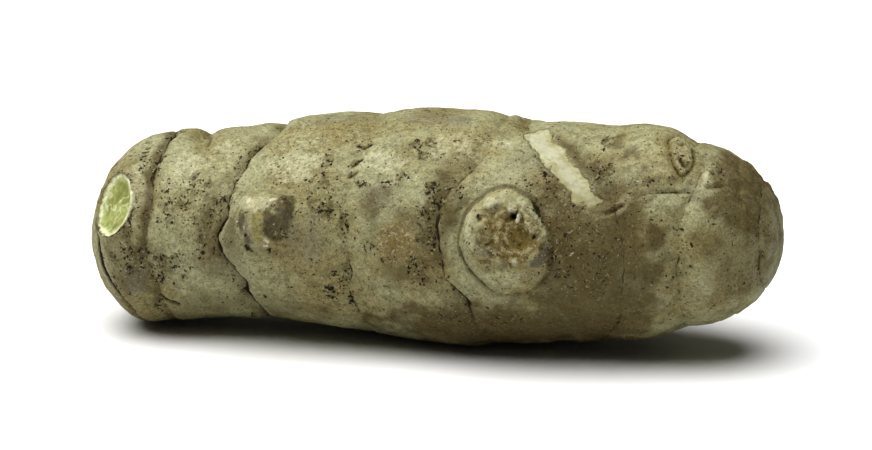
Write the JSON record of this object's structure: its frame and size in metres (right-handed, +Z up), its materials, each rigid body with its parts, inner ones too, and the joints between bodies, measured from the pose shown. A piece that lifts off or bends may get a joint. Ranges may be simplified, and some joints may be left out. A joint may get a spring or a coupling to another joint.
{
  "type": "white turmeric root",
  "caption": "Whole finger of fresh white turmeric rhizome lying on its side, ringed by leaf scars, with broken side shoots and a snapped end.",
  "frame": {"origin": "under the middle of the bounding box, on the surface that the root lies on", "axes": "+X along the root from the broken end to the growing tip, -Y towards the two big broken side shoots, +Z up"},
  "size_m": [0.0946, 0.0398, 0.0314],
  "materials": {
    "rhizome_skin": "dull, slightly waxy pale olive-beige root skin with dark soil specks and dark ring lines"
  },
  "bodies": {
    "root": {"rhizome": "rhizome_skin"}
  },
  "joints": []
}
